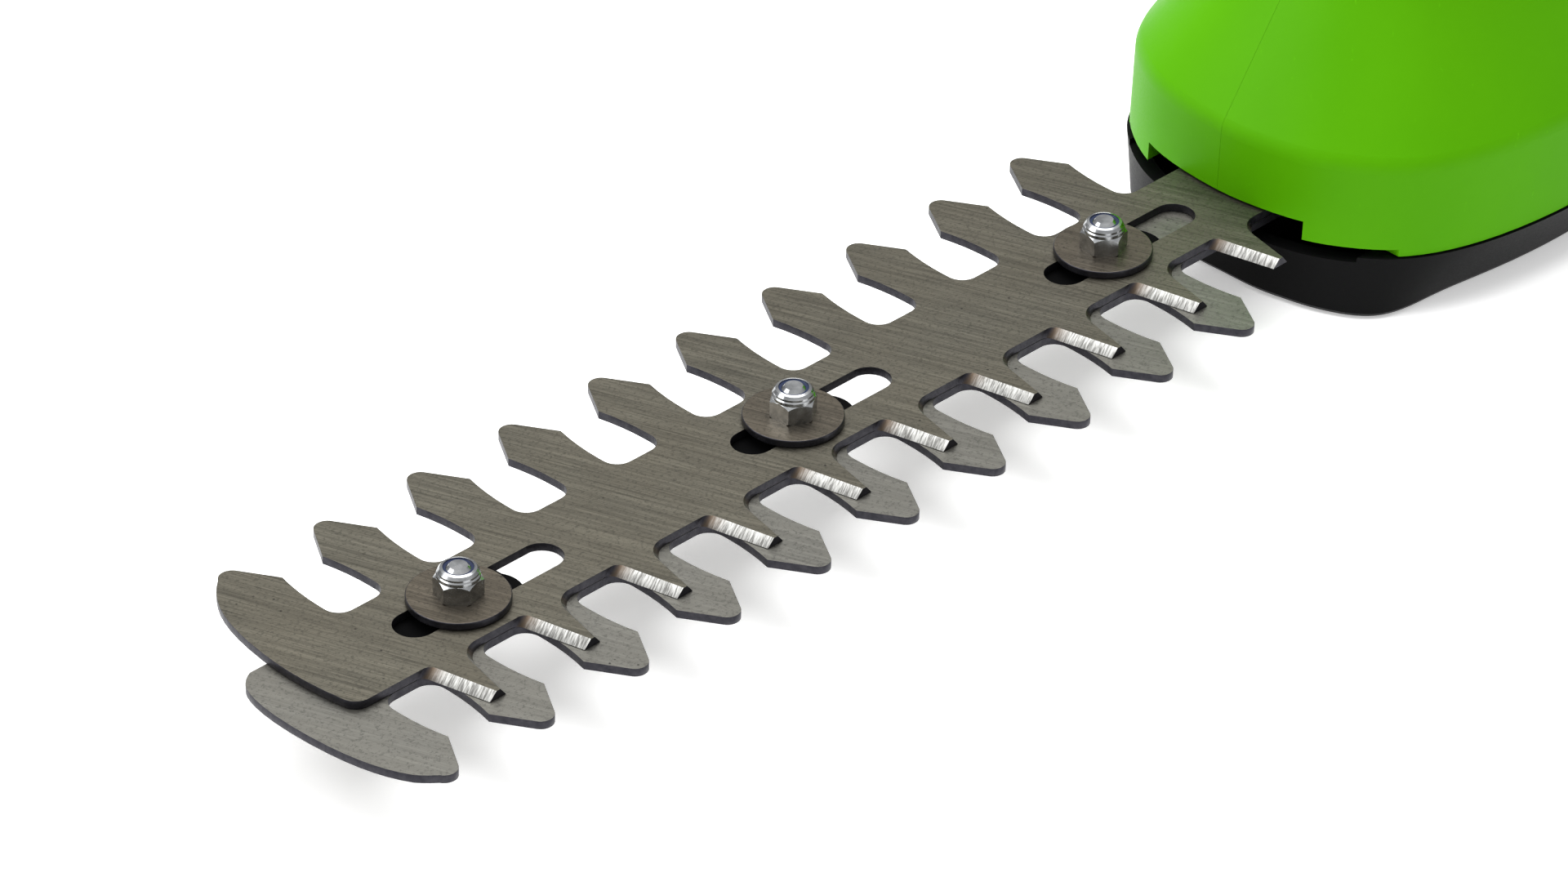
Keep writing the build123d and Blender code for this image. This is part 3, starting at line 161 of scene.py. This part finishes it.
def blade_steel(name, face, warm, ground_side=0.0, streak=0.40):
    """Brushed plate with its side faces painted near black by face direction (painted shade), small
    pits and, on the side of the short teeth, ground bevels that are heat-tinted at the root."""
    s = Shader(name)
    plain = s.place((1.0, 1.0, 1.0))
    lines = s.noise(s.place((5200.0, 70.0, 70.0), BRUSH_TURN), 1.0, 3.0, 0.6)
    bands = s.noise(s.place((1300.0, 22.0, 22.0), BRUSH_TURN), 1.0, 3.0, 0.6)
    cloud = s.noise(plain, 45.0, 4.0, 0.6)
    tone = s.maths("ADD", s.maths("MULTIPLY", lines, 0.6), s.maths("MULTIPLY", bands, 0.4))
    dark_streak = tinted(face, 1.0 - streak)
    light_streak = tinted(face, 1.0 + 1.3 * streak)
    light = s.mix(s.ramp(tone, 0.36, 0.64), dark_streak, light_streak)
    light = s.mix(s.ramp(cloud, 0.35, 0.75, 0.0, 0.40), light, warm)
    speck = s.noise(plain, 1700.0, 2.0, 0.7)
    light = s.mix(s.ramp(speck, 0.52, 0.66, 0.0, 0.55), light, tinted(face, 0.45))
    pits = s.ramp(s.spots(plain, 420.0), 0.05, 0.12)
    sparse = s.ramp(s.noise(plain, 160.0, 2.0), 0.53, 0.64)
    pit_mask = s.maths("MULTIPLY", s.maths("SUBTRACT", 1.0, pits), sparse)
    light = s.mix(s.maths("MULTIPLY", pit_mask, 0.8), light, (0.012, 0.011, 0.010, 1.0))
    up = s.upward()
    # Side faces: near black, tinted blue; this is painted shade for the upright faces that turn
    # away from the light.
    edge = s.mix(s.noise(plain, 900.0, 3.0), (0.014, 0.014, 0.020, 1.0), (0.060, 0.058, 0.066, 1.0))
    rough = s.maths("ADD", s.ramp(lines, 0.2, 0.8, 0.30, 0.44), s.ramp(cloud, 0.3, 0.8, 0.0, 0.10))
    if ground_side:
        grind = s.noise(s.place((420.0, 3600.0, 420.0), GRIND_TURN), 1.0, 3.0, 0.6)
        silver = s.mix(s.ramp(grind, 0.38, 0.62), (0.15, 0.148, 0.14, 1.0), (0.52, 0.52, 0.50, 1.0))
        out = s.maths("MULTIPLY", s.height("Y"), ground_side)
        silver = s.mix(s.ramp(out, 0.0105, 0.0135), (0.10, 0.075, 0.055, 1.0), silver)
        beside = s.ramp(out, 0.0098, 0.0104)
        is_bevel = s.maths("MULTIPLY", s.ramp(up, 0.30, 0.50), beside)
        side = s.mix(is_bevel, edge, silver)
        rough = s.maths("ADD", rough, s.ramp(grind, 0.3, 0.7, 0.0, 0.08))
    else:
        side = edge
    # Faces that point up get the brushed tone; steeper faces get the side colour, which is painted
    # shade everywhere except on the ground bevels.
    colour = s.mix(s.ramp(up, 0.90, 0.97), side, light)
    normal = s.bump(lines, 0.12, 0.00002)
    normal = s.bump(s.maths("SUBTRACT", 1.0, pit_mask), 0.4, 0.00003, normal)
    return s.finish(colour, rough, normal, metallic=0.9)


def bright_zinc():
    """Zinc plate: bright, slightly uneven, with faint dark smudges."""
    s = Shader("bright_zinc")
    plain = s.place((1.0, 1.0, 1.0))
    cloud = s.noise(plain, 420.0, 3.0, 0.5)
    colour = s.mix(s.ramp(cloud, 0.35, 0.65), (0.30, 0.31, 0.32, 1.0), (0.47, 0.48, 0.49, 1.0))
    rough = s.ramp(cloud, 0.3, 0.7, 0.16, 0.24)
    return s.finish(colour, rough, s.bump(cloud, 0.04, 0.00003), metallic=1.0)


def machined(name, colour, rough=0.34):
    """Plain turned or stamped metal with faint marks and soil."""
    s = Shader(name)
    plain = s.place((1.0, 1.0, 1.0))
    cloud = s.noise(plain, 260.0, 4.0, 0.6)
    fine = s.noise(s.place((2600.0, 2600.0, 240.0)), 1.0, 3.0)
    dark = [c * 0.55 for c in colour[:3]] + [1.0]
    base = s.mix(s.ramp(cloud, 0.35, 0.75), colour, dark)
    uneven = s.ramp(fine, 0.3, 0.7, rough - 0.07, rough + 0.1)
    return s.finish(base, uneven, s.bump(fine, 0.12, 0.00002), metallic=1.0)


def moulded(name, colour, shade, rough, grain=2600.0, depth=0.10, shine=0.15):
    """Injection-moulded plastic: fine grain, faint flow marks, small scuffs."""
    s = Shader(name)
    plain = s.place((1.0, 1.0, 1.0))
    flow = s.noise(plain, 26.0, 4.0, 0.55)
    fine = s.noise(plain, grain, 4.0, 0.6)
    scuff = s.noise(s.place((900.0, 260.0, 260.0), 0.6), 1.0, 6.0, 0.7)
    scuffed = s.ramp(scuff, 0.66, 0.72)
    base = s.mix(s.ramp(flow, 0.3, 0.7), colour, shade)
    worn = [min(1.0, channel * 1.35 + 0.004) for channel in colour[:3]] + [1.0]
    base = s.mix(s.maths("MULTIPLY", scuffed, 0.6), base, worn)
    grained = s.ramp(fine, 0.3, 0.7, rough - 0.05, rough + 0.06)
    roughness = s.maths("ADD", grained, s.maths("MULTIPLY", scuffed, 0.08))
    return s.finish(base, roughness, s.bump(fine, depth, 0.00006), Specular_IOR_Level=shine)


def clear_lens():
    s = Shader("clear_lens")
    fine = s.noise(s.place((1.0, 1.0, 1.0)), 900.0, 3.0)
    base = s.mix(fine, (0.55, 0.72, 0.55, 1.0), (0.80, 0.92, 0.80, 1.0))
    rough = s.ramp(fine, 0.3, 0.7, 0.08, 0.16)
    return s.finish(base, rough, s.bump(fine, 0.1, 0.00003), Coat_Weight=0.6)


def dress(material, *names, bevel=None):
    """Gives CAD nodes a material and, where wanted, worn edges."""
    for name in names:
        node = NODES[name]
        slots = node.data.materials
        if len(slots) == 0:
            slots.append(material)
        for index in range(len(slots)):
            slots[index] = material
        if bevel:
            weld = node.modifiers.new("weld", "WELD")
            weld.merge_threshold = 1e-6
            edge = node.modifiers.new("edge", "BEVEL")
            edge.width = bevel
            edge.segments = 2
            edge.limit_method = "ANGLE"
            edge.angle_limit = math.radians(32.0)
            edge.harden_normals = True


def add_camera():
    forward = Vector((
        math.cos(CAMERA_DIP) * math.cos(CAMERA_HEADING),
        math.cos(CAMERA_DIP) * math.sin(CAMERA_HEADING),
        -math.sin(CAMERA_DIP),
    ))
    level = Vector((math.sin(CAMERA_HEADING), -math.cos(CAMERA_HEADING), 0.0))
    rise = level.cross(forward)
    right = level * math.cos(CAMERA_ROLL) + rise * math.sin(CAMERA_ROLL)
    up = right.cross(forward)
    data = bpy.data.cameras.new("camera")
    data.lens = CAMERA_LENS
    data.sensor_width = 36.0
    data.clip_end = 20.0
    camera = bpy.data.objects.new("camera", data)
    turn = Matrix((right, up, -forward)).transposed().to_4x4()
    camera.matrix_world = Matrix.Translation(CAMERA_PLACE) @ turn
    bpy.context.scene.collection.objects.link(camera)
    bpy.context.scene.camera = camera


def add_light(name, place, aim, size, power):
    data = bpy.data.lights.new(name, "AREA")
    data.shape = "DISK"
    data.size = size
    data.energy = power
    lamp = bpy.data.objects.new(name, data)
    lamp.location = place
    lamp.rotation_euler = (Vector(aim) - Vector(place)).to_track_quat("-Z", "Y").to_euler()
    bpy.context.scene.collection.objects.link(lamp)


def add_studio():
    """Softly glowing pale floor, a sky that dims to the horizon, and two softboxes."""
    bpy.context.scene.view_settings.view_transform = "Standard"
    world = bpy.data.worlds.new("studio")
    world.use_nodes = True
    nodes = world.node_tree.nodes
    links = world.node_tree.links
    coords = nodes.new("ShaderNodeTexCoord")
    split = nodes.new("ShaderNodeSeparateXYZ")
    sky = nodes.new("ShaderNodeMapRange")
    sky.inputs["From Min"].default_value = 0.05
    sky.inputs["From Max"].default_value = 0.95
    sky.inputs["To Min"].default_value = SKY_LOW
    sky.inputs["To Max"].default_value = SKY_HIGH
    links.new(coords.outputs["Generated"], split.inputs["Vector"])
    links.new(split.outputs["Z"], sky.inputs["Value"])
    links.new(sky.outputs["Result"], nodes["Background"].inputs["Strength"])
    nodes["Background"].inputs["Color"].default_value = (1.0, 1.0, 1.0, 1.0)
    bpy.context.scene.world = world
    bpy.ops.mesh.primitive_plane_add(size=12.0)
    floor = bpy.context.object
    floor.name = "floor"
    s = Shader("floor")
    cloud = s.noise(s.place((1.0, 1.0, 1.0)), 3.0)
    tone = s.mix(cloud, (0.93, 0.93, 0.93, 1.0), (0.96, 0.96, 0.96, 1.0))
    paint = s.finish(
        tone,
        0.7,
        Specular_IOR_Level=0.1,
        Emission_Color=(1.0, 1.0, 1.0, 1.0),
        Emission_Strength=FLOOR_GLOW,
    )
    floor.data.materials.append(paint)
    add_light("top", (0.0, 0.3, 1.5), (-0.05, 0.0, 0.0), 1.6, 22.0)
    add_light("left", (-1.0, 0.7, 0.9), (-0.05, 0.0, 0.0), 0.9, 9.0)


def dress_all():
    upper = blade_steel("upper_plate_steel", linear(98, 95, 85), linear(90, 84, 72), -1.0)
    lower = blade_steel("lower_plate_steel", linear(118, 117, 111), linear(108, 105, 97), 1.0, 0.22)
    washer = blade_steel("washer_steel", linear(92, 86, 76), linear(84, 76, 64))
    zinc = bright_zinc()
    bar = machined("bar_steel", (0.30, 0.29, 0.28, 1.0))
    gear = machined("gear_steel", (0.33, 0.33, 0.34, 1.0))
    green = moulded(
        "green_plastic", (0.080, 0.335, 0.0, 1.0), (0.071, 0.312, 0.0, 1.0), 0.44, shine=0.06
    )
    black = moulded(
        "black_plastic", (0.0035, 0.0035, 0.0037, 1.0), (0.005, 0.005, 0.0052, 1.0), 0.42,
        grain=3200.0, depth=0.16, shine=0.06,
    )
    # Guide shoes: near black and nearly unreflective, a painted shadow standing in for the deep
    # shade seen down the blade slots.
    shoe = moulded(
        "shoe_painted_shadow_black", (0.0015, 0.0015, 0.0016, 1.0), (0.0022, 0.0022, 0.0024, 1.0), 0.6, shine=0.03
    )
    soft = moulded(
        "soft_black", (0.008, 0.008, 0.0085, 1.0), (0.012, 0.012, 0.012, 1.0), 0.62,
        grain=1500.0, depth=0.30, shine=0.2,
    )
    orange = moulded(
        "orange_plastic", (0.72, 0.13, 0.01, 1.0), (0.60, 0.10, 0.01, 1.0), 0.36, shine=0.4
    )
    board = moulded("board", (0.02, 0.16, 0.06, 1.0), (0.02, 0.12, 0.05, 1.0), 0.32)
    red = moulded("lead_red", (0.45, 0.02, 0.02, 1.0), (0.35, 0.02, 0.02, 1.0), 0.4)
    blue = moulded("cell_blue", (0.03, 0.12, 0.35, 1.0), (0.02, 0.09, 0.28, 1.0), 0.3)
    nylon = moulded("nylon_ring", (0.015, 0.02, 0.05, 1.0), (0.02, 0.03, 0.07, 1.0), 0.4)
    dark_screw = machined("black_screw", (0.05, 0.05, 0.055, 1.0), 0.4)
    bronze = machined("bronze", (0.42, 0.26, 0.10, 1.0))
    cast = machined("cast_aluminium", (0.52, 0.52, 0.53, 1.0), 0.5)
    bright = machined("bright_steel", (0.60, 0.60, 0.61, 1.0), 0.22)
    brass = machined("brass", (0.62, 0.44, 0.14, 1.0), 0.25)
    dress(upper, "upper_blade", bevel=BLADE_EDGE_WEAR)
    dress(lower, "lower_blade", bevel=BLADE_EDGE_WEAR)
    dress(washer, "blade_washers")
    dress(zinc, "blade_bolts", "lock_nuts", "frame_screws", "motor_screws", "ear_screws")
    dress(nylon, "nut_rings")
    dress(bar, "guide_bar", "bolt_bushes", "frame_posts", "trigger_pin")
    dress(gear, "drive_gear", "upper_cam", "lower_cam", "gear_axle", "motor_rotor")
    dress(bronze, "lower_bush", "pinion")
    dress(bright, "upper_bearing", "motor_can", "trigger_spring", "lock_spring")
    dress(cast, "gear_frame")
    dress(green, "housing_left", "housing_right", "pin_blocks")
    dress(black, "base_cover", "motor_cap", "trigger", "micro_switch", "board_parts")
    dress(black, "terminal_block", "battery_stick", "battery_cap")
    dress(shoe, "guide_shoes")
    dress(soft, "grip_pad", "foot_pads")
    dress(orange, "lock_button", "latch_left", "latch_right")
    dress(board, "control_board", "cell_board")
    dress(red, "motor_leads", "battery_leads")
    dress(blue, "battery_cells")
    dress(dark_screw, "housing_screws", "base_screws")
    dress(brass, "contacts")
    dress(clear_lens(), "charge_lens")


add_camera()
add_studio()
dress_all()
